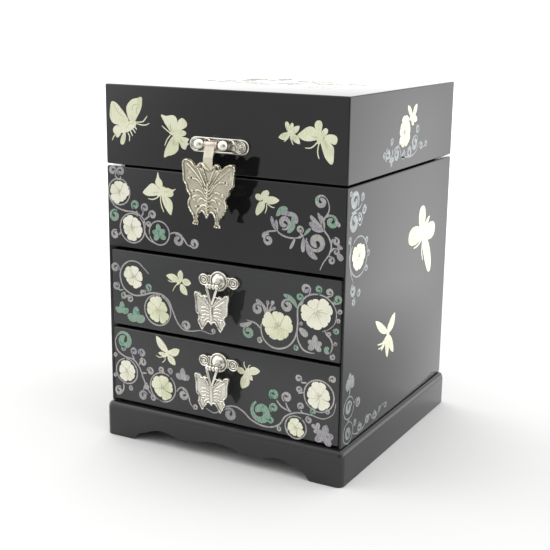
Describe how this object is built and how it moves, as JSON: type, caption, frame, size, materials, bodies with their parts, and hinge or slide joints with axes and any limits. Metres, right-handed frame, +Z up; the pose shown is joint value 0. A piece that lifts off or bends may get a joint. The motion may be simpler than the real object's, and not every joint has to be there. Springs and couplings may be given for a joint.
{
  "type": "jewelry armoire",
  "caption": "Square lacquered jewelry armoire with a hinged mirror lid and butterfly hasp, a lined ring compartment and stacked drawers with butterfly pulls.",
  "frame": {"origin": "on the floor at the centre of the whole object's footprint, hasp and plinth included", "axes": "+Z up, the drawers and the hasp face -Y, +X to the right as seen from the front"},
  "size_m": [0.1868, 0.2032, 0.248],
  "materials": {
    "lacquer": "polished black lacquer on wood, inlaid with shell",
    "velvet": "dark red velvet lining",
    "nickel": "cast fittings, soft silver plating",
    "mirror": "plane mirror glass"
  },
  "bodies": {
    "case": {"base_panel": "lacquer", "case_back": "lacquer", "compartment_floor": "lacquer", "compartment_liner": "velvet", "drawer_divider": "lacquer", "hinge_left_case_leaf": "nickel", "hinge_left_pin": "nickel", "hinge_right_case_leaf": "nickel", "hinge_right_pin": "nickel", "latch_keeper": "nickel", "partition_cross": "velvet", "partition_long": "velvet", "plinth_back": "lacquer", "plinth_front": "lacquer", "plinth_left": "lacquer", "plinth_right": "lacquer", "ring_roll_1": "velvet", "ring_roll_2": "velvet", "ring_roll_3": "velvet", "side_left": "lacquer", "side_right": "lacquer", "upper_front": "lacquer"},
    "lid": {"hinge_left_lid_leaf": "nickel", "hinge_right_lid_leaf": "nickel", "latch_nail_left": "nickel", "latch_nail_right": "nickel", "latch_pin": "nickel", "latch_plate": "nickel", "lid_back": "lacquer", "lid_front": "lacquer", "lid_left": "lacquer", "lid_liner": "velvet", "lid_mirror": "mirror", "lid_right": "lacquer", "lid_top": "lacquer"},
    "hasp": {"hasp_butterfly": "nickel", "hasp_strap": "nickel"},
    "drawer_upper": {"drawer_upper_back": "lacquer", "drawer_upper_bottom": "lacquer", "drawer_upper_front": "lacquer", "drawer_upper_liner": "velvet", "drawer_upper_side_left": "lacquer", "drawer_upper_side_right": "lacquer", "pull_upper_nail_left": "nickel", "pull_upper_nail_right": "nickel", "pull_upper_pin": "nickel", "pull_upper_plate": "nickel"},
    "drawer_lower": {"drawer_lower_back": "lacquer", "drawer_lower_bottom": "lacquer", "drawer_lower_front": "lacquer", "drawer_lower_liner": "velvet", "drawer_lower_side_left": "lacquer", "drawer_lower_side_right": "lacquer", "pull_lower_nail_left": "nickel", "pull_lower_nail_right": "nickel", "pull_lower_pin": "nickel", "pull_lower_plate": "nickel"},
    "pull_upper": {"pull_upper_butterfly": "nickel"},
    "pull_lower": {"pull_lower_butterfly": "nickel"}
  },
  "joints": [
    {"name": "lid_hinge", "type": "hinge", "parent": "case", "child": "lid", "pos_m": [0, 0.09945, 0.19405], "axis": [-1, 0, 0], "range_deg": [0, 100]},
    {"name": "hasp_hinge", "type": "hinge", "parent": "lid", "child": "hasp", "pos_m": [0, -0.09315, 0.2143], "axis": [-1, 0, 0], "range_deg": [0, 110]},
    {"name": "drawer_upper_slide", "type": "slide", "parent": "case", "child": "drawer_upper", "axis": [0, -1, 0], "range_m": [0, 0.12]},
    {"name": "drawer_lower_slide", "type": "slide", "parent": "case", "child": "drawer_lower", "axis": [0, -1, 0], "range_m": [0, 0.12]},
    {"name": "pull_upper_swing", "type": "hinge", "parent": "drawer_upper", "child": "pull_upper", "pos_m": [0, -0.09205, 0.1225], "axis": [-1, 0, 0], "range_deg": [-15, 90]},
    {"name": "pull_lower_swing", "type": "hinge", "parent": "drawer_lower", "child": "pull_lower", "pos_m": [0, -0.09205, 0.0667], "axis": [-1, 0, 0], "range_deg": [-15, 90]}
  ]
}
